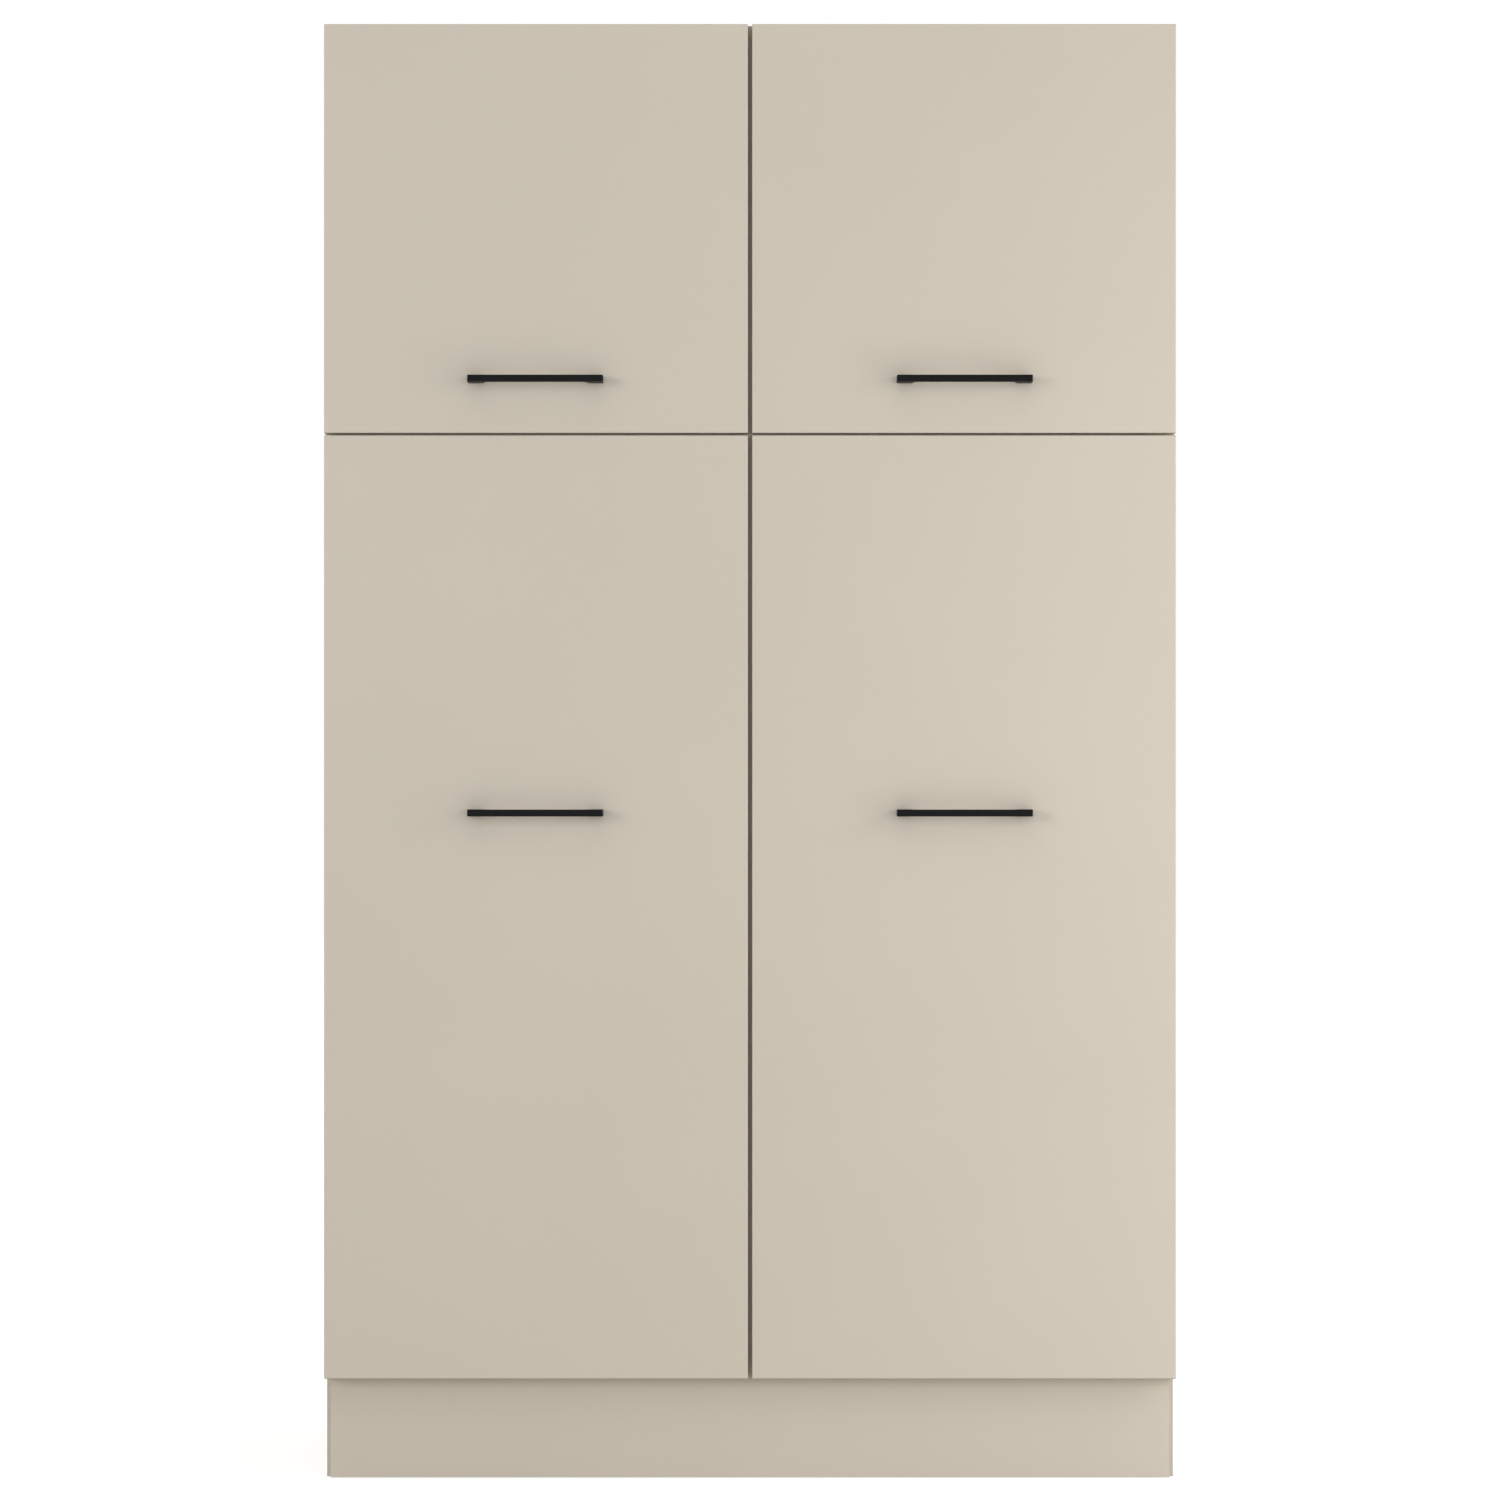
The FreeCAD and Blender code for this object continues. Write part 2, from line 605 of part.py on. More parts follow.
def hinge_arm():
    cheek_body = new_body("arm_cheek", z=ARM_INNER)
    drawing = sketch(cheek_body, "XY_Plane")
    web_top = f"({WEB_UNDER} + arm_sheet)"
    outline(drawing, ((ARM_FOOT, "arm_rear"), (web_top, "arm_rear"), (web_top, "arm_crank"),
                      SHORT_ARM, LONG_ARM, (ARM_FOOT, "arm_front")))
    pad(cheek_body, drawing, "arm_sheet")
    eyes = [pivot_rod("arm_eye", p, "arm_eye_radius", ARM_INNER, ARM_OUTER) for p in (LONG_ARM, SHORT_ARM)]
    stub = pivot_rod("arm_stub", LONG_ARM, PIVOT, LONG_LINK_LOW, ARM_OUTER)
    cheek = fuse("arm_side", (cheek_body, *eyes, stub))
    web = box("arm_web", (WEB_UNDER, "arm_crank", f"-{ARM_OUTER}"),
              ("arm_sheet", "arm_rear - arm_crank", f"2 * {ARM_OUTER}"))
    pin = pivot_rod("arm_pin", SHORT_ARM, PIVOT, f"-{ARM_OUTER}", ARM_OUTER)
    arm = fuse("arm_folded", (cheek, mirrored("arm_far_side", cheek, Vector(0, 0, 1)), web, pin))
    hole = rod("arm_screw_hole", (WEB_UNDER, ARM_SCREW_SETBACK, "0"), WOOD_BORE, "arm_sheet", TO_RIGHT)
    return cut("hinge_arm", arm, (hole,))


def hinge_plate():
    bar_half = f"({ARM_INNER} - plate_bar_slack)"
    bar = box("plate_bar", ("board", "arm_front", f"-{bar_half}"),
              ("plate_bar_height", "arm_rear - arm_front", f"2 * {bar_half}"))
    wings = box("plate_wings", ("board", "plate_wing_front", "-plate_wing_half_span"),
                ("plate_wing_thickness", "plate_wing_rear - plate_wing_front", "2 * plate_wing_half_span"))
    holes = [rod("plate_hole", ("board", "plate_screw_setback", f"{sign}plate_screw_half_spacing"),
                 WOOD_BORE, "plate_wing_thickness", TO_RIGHT) for sign in ("", "-")]
    depth = "(wood_screw_grip - arm_sheet + screw_slack)"
    arm_hole = rod("plate_arm_hole", (f"{WEB_UNDER} - {depth}", ARM_SCREW_SETBACK, "0"),
                   WOOD_BORE, depth, TO_RIGHT)
    return cut("hinge_plate", fuse("plate_blank", (bar, wings)), (*holes, arm_hole))


def hinge_screws():
    plate_screw = wood_screw("plate_screw", "plate_wing_thickness + wood_screw_grip")
    arm_screw = wood_screw("arm_screw", "wood_screw_grip")
    seat = "(board + plate_wing_thickness)"
    in_plate = copies("plate_screws", plate_screw, [
        (seat, "plate_screw_setback", f"{sign}plate_screw_half_spacing", TO_LEFT) for sign in ("", "-")])
    arm_seat = f"({WEB_UNDER} + arm_sheet)"
    in_arm = copies("arm_screws", arm_screw, ((arm_seat, ARM_SCREW_SETBACK, "0", TO_LEFT),))
    return group("hinge_screws_one", (in_plate, in_arm))


def plate_screw_bores():
    return group("plate_screw_bores", [
        rod("plate_screw_bore", ("board", "plate_screw_setback", f"{sign}plate_screw_half_spacing"),
            WOOD_BORE, "wood_screw_grip + screw_slack", TO_LEFT) for sign in ("", "-")])


def hinge_cup():
    outer = "(cup_diameter / 2 - cup_slack)"
    inner = "(cup_diameter / 2 - cup_slack - cup_wall)"
    drum = rod("cup_drum", (CUP_MIDDLE, "-door_gap", "0"), outer, "cup_depth - cup_slack", TO_FRONT)
    hollow = rod("cup_hollow", (CUP_MIDDLE, "ear_thickness - door_gap", "0"), inner,
                 "ear_thickness + cup_depth - cup_slack - cup_wall", TO_FRONT)
    ears = [box("cup_ear", (f"{CUP_MIDDLE} - cup_wall", "-door_gap", low),
                ("ear_reach + cup_wall", "ear_thickness", "ear_span - ear_mouth"))
            for low in ("ear_mouth", "-ear_span")]
    screw_line = f"({CUP_MIDDLE} + ear_screw_offset)"
    holes = [rod("ear_hole", (screw_line, "-door_gap", f"{sign}ear_screw_half_spacing"),
                 WOOD_BORE, "ear_thickness", TO_BACK) for sign in ("", "-")]
    rim_notch = box("cup_rim_notch", ("cup_edge", "-door_gap - cup_rim_notch", f"-{LONG_LINK_LOW}"),
                    ("cup_diameter", "cup_rim_notch", f"2 * {LONG_LINK_LOW}"))
    hollow_and_notch = fuse("cup_space", (hollow, rim_notch))
    shell = cut("cup_shell", fuse("cup_blank", (drum, *ears)), (hollow_and_notch, *holes))
    wall_middle = f"({inner} + cup_wall / 2)"

    def chord(point):
        return f"sqrt({wall_middle} ^ 2 - ({point[0]} - {CUP_MIDDLE}) ^ 2)"

    stub = pivot_rod("cup_stub", LONG_CUP, PIVOT, LONG_LINK_LOW, chord(LONG_CUP))
    pin = pivot_rod("cup_pin", SHORT_CUP, PIVOT, f"-{chord(SHORT_CUP)}", chord(SHORT_CUP))
    return fuse("hinge_cup", (shell, stub, mirrored("cup_far_stub", stub, Vector(0, 0, 1)), pin))


def hung(name, piece, heights):
    """Copies of a hinge piece at the left-hand doors' hinges."""
    return copies(name, piece, [(f"-{HALF}", FRONT, height, UPRIGHT) for height in heights])


ALL_HINGES = LOWER_HINGES + UPPER_HINGES
hinge_sets = (("hinge_plates", hinge_plate()), ("hinge_arms", hinge_arm()), ("hinge_screws", hinge_screws()))
for label, piece in hinge_sets:
    keep(label, both_sides(label, hung(label + "_left", piece, ALL_HINGES)))
hinge_bores_left = hung("hinge_bores_left", plate_screw_bores(), ALL_HINGES)

# Carcass boards
side_blank = box("side_blank", (f"-{HALF}", FRONT, "0"), ("board", "carcass_depth", "overall_height"))
toe_notch = box("toe_notch", (f"-{HALF}", FRONT, "0"), ("board", f"{PLINTH_BACK} - {FRONT}", "toe_height"))
left_side = keep("left_side_panel", cut("left_side_panel", side_blank, (
    toe_notch, groove, joint_bores_left, pin_bores_left, hinge_bores_left)))
keep("right_side_panel", mirrored("right_side_panel", left_side))

wide_size = (f"2 * {INNER}", "carcass_depth", "board")
bottom_blank = box("bottom_blank", (f"-{INNER}", FRONT, "toe_height"), wide_size)
top_blank = box("top_blank", (f"-{INNER}", FRONT, TOP_UNDER), wide_size)
wide_tools = (groove, groove_right_half, joint_bores_left, joint_bores_right, long_screw_bores)
keep("bottom_panel", cut("bottom_panel", bottom_blank, wide_tools))
bracket_bores_right = mirrored("bracket_bores_right", bracket_bores)
keep("top_panel", cut("top_panel", top_blank, (*wide_tools, bracket_bores, bracket_bores_right)))

partition_blank = box("partition_blank", ("-board / 2", FRONT, BOTTOM_TOP),
                      ("board", "carcass_depth", f"{TOP_UNDER} - {BOTTOM_TOP}"))
keep("center_partition", cut("center_partition", partition_blank, (
    groove, groove_right_half, joint_bores_left, joint_bores_right, long_screw_bores, pin_bores_left,
    pin_bores_right)))

fixed_blank = box("fixed_blank", (f"-{INNER}", FRONT, FIXED_UNDER),
                  (f"{INNER} - board / 2", f"{BACK_FACE} - {FRONT}", "board"))
fixed_left = keep("fixed_shelf_left", cut("fixed_shelf_left", fixed_blank, (joint_bores_left,)))
keep("fixed_shelf_right", mirrored("fixed_shelf_right", fixed_left))

shelf_size = (f"{INNER} - board / 2 - 2 * shelf_slack",
              f"{BACK_FACE} - {FRONT} - shelf_setback - shelf_rear_gap", "board")
for level, height in SHELVES.items():
    corner = (f"-{INNER} + shelf_slack", f"{FRONT} + shelf_setback", height)
    shelf = keep(f"{level}_shelf_left", box(f"{level}_shelf_left", corner, shelf_size))
    keep(f"{level}_shelf_right", mirrored(f"{level}_shelf_right", shelf))

# Plinth, the blocks that hold it and the board that carries the middle of the bottom panel
keep("plinth_board", box("plinth_board", (f"-{HALF} + plinth_end_reveal", f"{FRONT} + plinth_setback",
                                          "plinth_floor_gap"),
                         ("overall_width - 2 * plinth_end_reveal", "plinth_thickness",
                          "toe_height - plinth_top_gap - plinth_floor_gap")))
keep("center_support", box("center_support", ("-board / 2", PLINTH_BACK, "0"),
                           ("board", f"{REAR} - {PLINTH_BACK} - support_rear_gap", "toe_height")))
block_shape = ("block_size", "block_size", "toe_height - plinth_top_gap - 2 * plinth_floor_gap")
blocks = [box("plinth_block", (x, PLINTH_BACK, "2 * plinth_floor_gap"), block_shape)
          for x in (f"-{INNER}", "-board / 2 - block_size")]
keep("plinth_blocks", both_sides("plinth_blocks", group("plinth_blocks_left", blocks)))


# Doors
def door_panel(name, foot, height, hinges, handle_height):
    """A door drawn from its outer lower corner, with its back face on the plane Y 0."""
    body = new_body(name, f"-{HALF}", DOOR_BACK, foot)
    face = sketch(body, "XZ_Plane")
    outline(face, (("0", "0"), (DOOR_WIDTH, "0"), (DOOR_WIDTH, height), ("0", height)))
    slab = pad(body, face, "door_thickness")
    front = slab.Shape.BoundBox.YMin
    round_edges(body, slab, lambda edge: edge.BoundBox.YMax < front + NEAR, "door_edge_radius")
    levels = [f"({hinge} - {foot})" for hinge in hinges]
    drill(body, "XZ_Plane", [(CUP_MIDDLE, level) for level in levels], "cup_diameter / 2", "cup_depth")
    ear_screw_places = [(f"({CUP_MIDDLE} + ear_screw_offset)", f"({level} {sign} ear_screw_half_spacing)")
                        for level in levels for sign in "+-"]
    drill(body, "XZ_Plane", ear_screw_places, WOOD_BORE, "wood_screw_grip")
    handle_screw_places = [(f"({DOOR_WIDTH} / 2 {sign} handle_screw_spacing / 2)", handle_height)
                           for sign in "+-"]
    drill(body, "XZ_Plane", handle_screw_places, HANDLE_BORE, "door_thickness")
    return body


def bow_handle(name, height):
    """A bow handle drawn with its feet on the plane Y 0 and its bar towards -Y."""
    body = new_body(name, f"-{HANDLE_MIDDLE}", DOOR_FRONT, f"{height} - handle_height / 2")
    end = "(handle_length / 2)"
    root = f"({end} - handle_post_root)"
    crown = f"({end} - handle_post_crown)"
    bar_back = "(handle_bar - handle_projection)"
    drawing = sketch(body, "XY_Plane")
    outline(drawing, ((f"-{end}", "0"), (f"-{end}", "-handle_projection"), (end, "-handle_projection"),
                      (end, "0"), (root, "0"), (crown, bar_back),
                      (f"-{crown}", bar_back), (f"-{root}", "0")))
    bow = pad(body, drawing, "handle_height")
    outer = number("-handle_projection")
    inner = number(bar_back)

    def upright_at(depth):
        return lambda edge: (edge.BoundBox.XLength < NEAR and abs(edge.BoundBox.YMin - depth) < NEAR
                             and abs(edge.BoundBox.YMax - depth) < NEAR)

    bow = round_edges(body, bow, upright_at(outer), "handle_corner_radius")
    round_edges(body, bow, upright_at(inner), "handle_inner_radius")
    screw_places = [(f"{sign}handle_screw_spacing / 2", "handle_height / 2") for sign in ("", "-")]
    drill(body, "XZ_Plane", screw_places, HANDLE_BORE, "handle_screw_grip + screw_slack")
    return body


def door_screws(name, hinges, handle_height):
    """The handle's screws and the hinge cups' screws."""
    handle_screws = copies(name + "_handle", machine_screw, [
        (f"-{HANDLE_MIDDLE} {sign} handle_screw_spacing / 2", DOOR_BACK, handle_height, TO_FRONT)
        for sign in "+-"])
    cup_screws = copies(name + "_cup", cup_screw, [
        (f"-{HALF} + {CUP_MIDDLE} + ear_screw_offset", f"{DOOR_BACK} + ear_thickness",
         f"({hinge} {sign} ear_screw_half_spacing)", TO_FRONT) for hinge in hinges for sign in "+-"])
    return group(name, (handle_screws, cup_screws))


machine_screw = screw("machine_screw", "machine_screw_head", "machine_screw_head_height",
                      "handle_screw_diameter", "door_thickness + handle_screw_grip")
cup_screw = screw("cup_screw", "wood_screw_head", "wood_screw_head_height / 2", "wood_screw_diameter",
                  "wood_screw_grip")
cup = hinge_cup()
long_links = long_link()
short_links = short_link()
# Name, foot, height, hinges, handle height above the foot and the heights of the bumpers
DOORS = (
    ("upper", UPPER_FOOT, UPPER_DOOR_HEIGHT, UPPER_HINGES, "upper_handle_height",
     ("(overall_height - board / 2)", f"({UPPER_FOOT} + bumper_edge + bumper_diameter / 2)")),
    ("lower", LOWER_FOOT, "lower_door_height", LOWER_HINGES, "lower_handle_height",
     (f"({LOWER_HEAD} - bumper_edge - bumper_diameter / 2)", "(toe_height + board / 2)")),
)
for level, foot, height, hinges, handle, bumper_heights in DOORS:
    handle_center = f"({foot} + {handle})"
    left = f"{level}_left"
    bumpers = group(f"{left}_bumpers", [
        rod("bumper", ("-center_gap / 2 - bumper_inset", DOOR_BACK, z), "bumper_diameter / 2",
            "door_gap - bumper_clearance", TO_BACK) for z in bumper_heights])
    pieces = (
        ("door_panel", door_panel(f"{left}_door_panel", foot, height, hinges, handle)),
        ("handle", bow_handle(f"{left}_handle", handle_center)),
        ("door_screws", door_screws(f"{left}_door_screws", hinges, handle_center)),
        ("hinge_cups", hung(f"{left}_hinge_cups", cup, hinges)),
        ("long_links", hung(f"{left}_long_links", long_links, hinges)),
        ("short_links", hung(f"{left}_short_links", short_links, hinges)),
        ("bumpers", bumpers),
    )
    for piece_name, piece in pieces:
        keep(f"{left}_{piece_name}", piece)
        keep(f"{level}_right_{piece_name}", mirrored(f"{level}_right_{piece_name}", piece))

doc.recompute()

# Nothing is written unless every object is sound
failed = [thing.Label for thing in doc.Objects if "Invalid" in thing.State or "Error" in thing.State]
failed += [label for label, thing in parts.items() if thing.Shape.isNull() or not thing.Shape.isValid()]
for thing in doc.Objects:
    if thing.TypeId == "PartDesign::Pocket" and thing.Shape.Volume >= thing.BaseFeature.Shape.Volume:
        failed.append(thing.Label + " cuts nothing")
if failed:
    raise RuntimeError("not sound: " + ", ".join(failed))

os.makedirs("parts", exist_ok=True)
for label, thing in parts.items():
    thing.Shape.exportStep(f"parts/{label}.step")
print(len(parts), "parts,", sum(len(thing.Shape.Solids) for thing in parts.values()), "solids")
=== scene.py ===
import json
import math

import bmesh
import bpy
from mathutils import Matrix, Vector


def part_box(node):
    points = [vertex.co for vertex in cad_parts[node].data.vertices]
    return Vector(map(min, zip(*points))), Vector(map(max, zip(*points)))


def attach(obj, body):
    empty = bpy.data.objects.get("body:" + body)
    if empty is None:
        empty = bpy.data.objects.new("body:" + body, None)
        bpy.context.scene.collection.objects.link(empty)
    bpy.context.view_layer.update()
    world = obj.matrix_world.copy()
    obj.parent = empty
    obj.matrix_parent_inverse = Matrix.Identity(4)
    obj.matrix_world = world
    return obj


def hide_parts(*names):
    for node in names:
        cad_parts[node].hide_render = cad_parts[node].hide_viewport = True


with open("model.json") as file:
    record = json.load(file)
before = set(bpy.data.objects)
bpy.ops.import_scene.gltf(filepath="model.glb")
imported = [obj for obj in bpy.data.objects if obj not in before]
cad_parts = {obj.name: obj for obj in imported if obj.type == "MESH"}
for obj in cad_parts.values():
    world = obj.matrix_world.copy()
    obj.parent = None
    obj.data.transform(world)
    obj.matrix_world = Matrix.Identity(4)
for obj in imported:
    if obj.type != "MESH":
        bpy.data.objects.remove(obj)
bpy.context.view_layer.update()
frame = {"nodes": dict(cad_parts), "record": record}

# The looks of a tall utility cabinet with four doors, in metres: materials for every part,
# screws and bumpers in full form, and a white studio. The doors face -Y and Z is up.
nodes = frame["nodes"]
record = frame["record"]
slot_of = {part["node"]: part["material_slot"] for part in record["subparts"]}
body_of = {node: body for body, members in record["behaviour"]["bodies"].items() for node in members}

# Colours as they look, from 0 to 255
BEIGE = (205, 196, 181)
HARDBOARD_DARK = (118, 88, 60)
HARDBOARD_LIGHT = (150, 117, 84)
BLACK_COAT = (15, 15, 15)
NICKEL = (202, 199, 193)
ZINC = (204, 206, 204)
CAST_ZINC = (176, 177, 178)
BEECH_DARK = (176, 133, 92)
BEECH_LIGHT = (211, 172, 130)
SPRUCE_DARK = (190, 146, 96)
SPRUCE_LIGHT = (224, 191, 147)
CLEAR_SOFT = (232, 232, 228)


def linear(color, gain=1.0):
    """A colour from 0 to 255 as the linear values that the shaders take."""
    values = []
    for channel in color:
        share = channel / 255
        value = share / 12.92 if share <= 0.04045 else ((share + 0.055) / 1.055) ** 2.4
        values.append(min(value * gain, 1.0))
    return (*values, 1.0)


# Material nodes
BEVEL_SAMPLES = 4


class Surface:
    """One material under construction, with its principled shader."""

    def __init__(self, name):
        self.material = bpy.data.materials.new(name)
        self.material.use_nodes = True
        self.tree = self.material.node_tree
        self.shader = self.tree.nodes["Principled BSDF"]
        self.place = self.node("ShaderNodeTexCoord").outputs["Object"]

    def node(self, kind, **settings):
        made = self.tree.nodes.new(kind)
        for key, value in settings.items():
            setattr(made, key, value)
        return made

    def link(self, source, target):
        self.tree.links.new(source, target)

    def set(self, **values):
        """Set the shader's own sockets; an underscore stands for a space in a socket's name."""
        for key, value in values.items():
            self.shader.inputs[key.replace("_", " ")].default_value = value

    def noise(self, scale, detail=3.0, roughness=0.5, stretch=(1, 1, 1)):
        """Grey noise; scale is in patches per metre."""
        mapping = self.node("ShaderNodeMapping")
        mapping.inputs["Scale"].default_value = stretch
        self.link(self.place, mapping.inputs["Vector"])
        made = self.node("ShaderNodeTexNoise")
        made.inputs["Scale"].default_value = scale
        made.inputs["Detail"].default_value = detail
        made.inputs["Roughness"].default_value = roughness
        self.link(mapping.outputs["Vector"], made.inputs["Vector"])
        return made.outputs["Fac"]

    def math(self, operation, first, second):
        """The result of an operation on two values, each a number or a socket."""
        made = self.node("ShaderNodeMath", operation=operation)
        for index, value in enumerate((first, second)):
            if isinstance(value, (int, float)):
                made.inputs[index].default_value = value
            else:
                self.link(value, made.inputs[index])
        return made.outputs[0]

    def blend(self, first, second, share):
        """Two sockets mixed: the share of the first, and the rest of the second."""
        part = self.math("MULTIPLY", first, share)
        rest = self.math("MULTIPLY", second, 1 - share)
        return self.math("ADD", part, rest)

    def along(self, vector, axis):
        """One component of a vector."""
        split = self.node("ShaderNodeSeparateXYZ")
        self.link(vector, split.inputs["Vector"])
        return split.outputs[axis]

    def between(self, factor, dark, light, start=0.3, end=0.7):
        """A colour that runs from dark to light as the factor goes from start to end."""
        ramp = self.node("ShaderNodeValToRGB")
        for stop, position, color in zip(ramp.color_ramp.elements, (start, end), (dark, light)):
            stop.position = position
            stop.color = color
        self.link(factor, ramp.inputs["Fac"])
        return ramp.outputs["Color"]

    def mix(self, factor, first, second):
        """The first colour where the factor is 0 and the second where it is 1; each a colour or a socket."""
        made = self.node("ShaderNodeMix", data_type="RGBA")
        self.link(factor, made.inputs["Factor"])
        for name, value in (("A", first), ("B", second)):
            socket = next(s for s in made.inputs if s.name == name and s.type == "RGBA")
            if isinstance(value, tuple):
                socket.default_value = value
            else:
                self.link(value, socket)
        return next(s for s in made.outputs if s.type == "RGBA")

    def color(self, socket):
        self.link(socket, self.shader.inputs["Base Color"])

    def roughness(self, factor, low, high):
        made = self.node("ShaderNodeMapRange")
        made.inputs["To Min"].default_value = low
        made.inputs["To Max"].default_value = high
        self.link(factor, made.inputs["Value"])
        self.link(made.outputs["Result"], self.shader.inputs["Roughness"])

    def bump(self, height, strength, depth, edge=0.0):
        """Relief from the height; edge is the radius that sharp edges look rounded to."""
        made = self.node("ShaderNodeBump")
        made.inputs["Strength"].default_value = strength
        made.inputs["Distance"].default_value = depth
        self.link(height, made.inputs["Height"])
        if edge:
            bevel = self.node("ShaderNodeBevel", samples=BEVEL_SAMPLES)
            bevel.inputs["Radius"].default_value = edge
            self.link(bevel.outputs["Normal"], made.inputs["Normal"])
        self.link(made.outputs["Normal"], self.shader.inputs["Normal"])


# One function for each finish
def front_board():
    """Matt lacquer with a fine pebbled skin."""
    made = Surface("front_board_lacquer")
    clouds = made.noise(scale=2.2, detail=2.0)
    made.color(made.between(clouds, linear(BEIGE, gain=0.985), linear(BEIGE, gain=1.015)))
    skin = made.noise(scale=900)
    made.roughness(skin, low=0.5, high=0.62)
    made.bump(skin, strength=0.08, depth=0.0002, edge=0.0007)
    made.set(Specular_IOR_Level=0.35)
    return made.material


BAND_THICKNESS = 0.001
SEAM_HALF_WIDTH = 0.00012


def carcass_board(front):
    """Melamine facing, pressed with a fine texture; the front edge is at y = front and has an edge band."""
    made = Surface("carcass_board_melamine")
    clouds = made.noise(scale=3.0, detail=2.0)
    facing = made.between(clouds, linear(BEIGE, gain=0.975), linear(BEIGE, gain=1.005))
    behind_band = made.math("SUBTRACT", made.along(made.place, "Y"), front + BAND_THICKNESS)
    seam = made.math("LESS_THAN", made.math("ABSOLUTE", behind_band, 0.0), SEAM_HALF_WIDTH)
    made.color(made.mix(seam, facing, linear(BEIGE, gain=0.6)))
    fine = made.noise(scale=1600, detail=2.0)
    coarse = made.noise(scale=420)
    texture = made.math("ADD", made.math("MULTIPLY", fine, 0.5), coarse)
    made.roughness(coarse, low=0.4, high=0.55)
    made.bump(texture, strength=0.12, depth=0.0002, edge=0.0007)
    made.set(Specular_IOR_Level=0.4)
    return made.material


def back_sheet():
    """Hardboard, faced on the inside and bare brown fibre on the back."""
    made = Surface("back_sheet_hardboard")
    fibres = made.noise(scale=700, detail=6.0, roughness=0.7, stretch=(1.0, 1.0, 0.35))
    specks = made.noise(scale=160, detail=4.0, roughness=0.6)
    bare = made.between(made.blend(fibres, specks, 0.5), linear(HARDBOARD_DARK), linear(HARDBOARD_LIGHT),
                        start=0.4, end=0.6)
    faced = made.between(made.noise(scale=3.0), linear(BEIGE, gain=0.97), linear(BEIGE))
    normal = made.node("ShaderNodeNewGeometry").outputs["True Normal"]
    rear = made.math("GREATER_THAN", made.along(normal, "Y"), 0.5)
    made.color(made.mix(rear, faced, bare))
    made.roughness(fibres, low=0.5, high=0.75)
    made.bump(fibres, strength=0.15, depth=0.0003)
    return made.material


def handle_metal():
    """Black powder coat with its fine orange-peel skin."""
    made = Surface("handle_powder_coat")
    grain = made.noise(scale=2600, detail=2.0)
    made.color(made.between(grain, linear(BLACK_COAT, gain=0.85), linear(BLACK_COAT, gain=1.2)))
    made.roughness(grain, low=0.42, high=0.55)
    made.bump(grain, strength=0.15, depth=0.0001, edge=0.0006)
    made.set(Specular_IOR_Level=0.12)
    return made.material


def metal(name, color, smooth, rough, grain, relief):
    """Plated or cast metal: a fine grain, so many patches to the metre, over a slow change of tone."""
    made = Surface(name)
    tone = made.noise(scale=70, detail=2.0)
    made.color(made.between(tone, linear(color, gain=0.93), linear(color, gain=1.04)))
    skin = made.noise(scale=grain, detail=4.0, roughness=0.6)
    made.roughness(skin, low=smooth, high=rough)
    made.bump(skin, strength=relief, depth=0.0001, edge=0.0003)
    made.set(Metallic=1.0)
    return made.material


def timber(name, dark, light, stretch):
    """Plain wood with its grain along the direction that the noise is stretched in."""
    made = Surface(name)
    grain = made.noise(scale=240, detail=6.0, roughness=0.62, stretch=stretch)
    pores = made.noise(scale=1500, detail=2.0, stretch=stretch)
    figure = made.blend(grain, pores, 0.8)
    made.color(made.between(figure, linear(dark), linear(light), start=0.35, end=0.65))
    made.roughness(grain, low=0.55, high=0.75)
    made.bump(pores, strength=0.2, depth=0.0002)
    return made.material


def bumper_soft():
    """Clear soft plastic, slightly milky."""
    made = Surface("bumper_soft_clear")
    haze = made.noise(scale=600, detail=2.0)
    made.color(made.between(haze, linear(CLEAR_SOFT, gain=0.95), linear(CLEAR_SOFT)))
    made.roughness(haze, low=0.12, high=0.25)
    made.set(Transmission_Weight=0.5, IOR=1.45)
    return made.material


ALONG_X = (0.06, 1.0, 1.0)
ALONG_Z = (1.0, 1.0, 0.06)
materials = {
    "front_board": front_board(),
    "back_sheet": back_sheet(),
    "handle_metal": handle_metal(),
    "hinge_steel": metal("hinge_nickel", NICKEL, smooth=0.17, rough=0.27, grain=2400, relief=0.012),
    "screw_steel": metal("screw_zinc", ZINC, smooth=0.25, rough=0.38, grain=1800, relief=0.02),
    "zinc_fitting": metal("fitting_cast_zinc", CAST_ZINC, smooth=0.4, rough=0.6, grain=900, relief=0.06),
    "dowel_wood": timber("dowel_beech", BEECH_DARK, BEECH_LIGHT, stretch=ALONG_X),
    "block_wood": timber("block_spruce", SPRUCE_DARK, SPRUCE_LIGHT, stretch=ALONG_Z),
    "bumper_soft": bumper_soft(),
}
# Boards whose front edges lie in one plane share a material
boards = {}
for name, node in nodes.items():
    if slot_of[name] == "carcass_board":
        front = round(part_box(name)[0].y, 5)
        if front not in boards:
            boards[front] = carcass_board(front)
        node.material_slots[0].material = boards[front]
    else:
        node.material_slots[0].material = materials[slot_of[name]]


# Detailed forms in place of plain CAD nodes
SEAM = 2e-6
ROUND_SIDES = 24
SHARP_ANGLE = math.radians(35)


def solids_of(name):
    """The corner points of each separate solid of a CAD node."""
    mesh = bmesh.new()
    mesh.from_mesh(nodes[name].data)
    bmesh.ops.remove_doubles(mesh, verts=mesh.verts, dist=SEAM)
    seen = set()
    solids = []
    for start in mesh.verts:
        if start in seen:
            continue
        seen.add(start)
        queue = [start]
        for vertex in queue:
            for edge in vertex.link_edges:
                other = edge.other_vert(vertex)
                if other not in seen:
                    seen.add(other)
                    queue.append(other)
        solids.append([vertex.co.copy() for vertex in queue])
    mesh.free()
    return solids


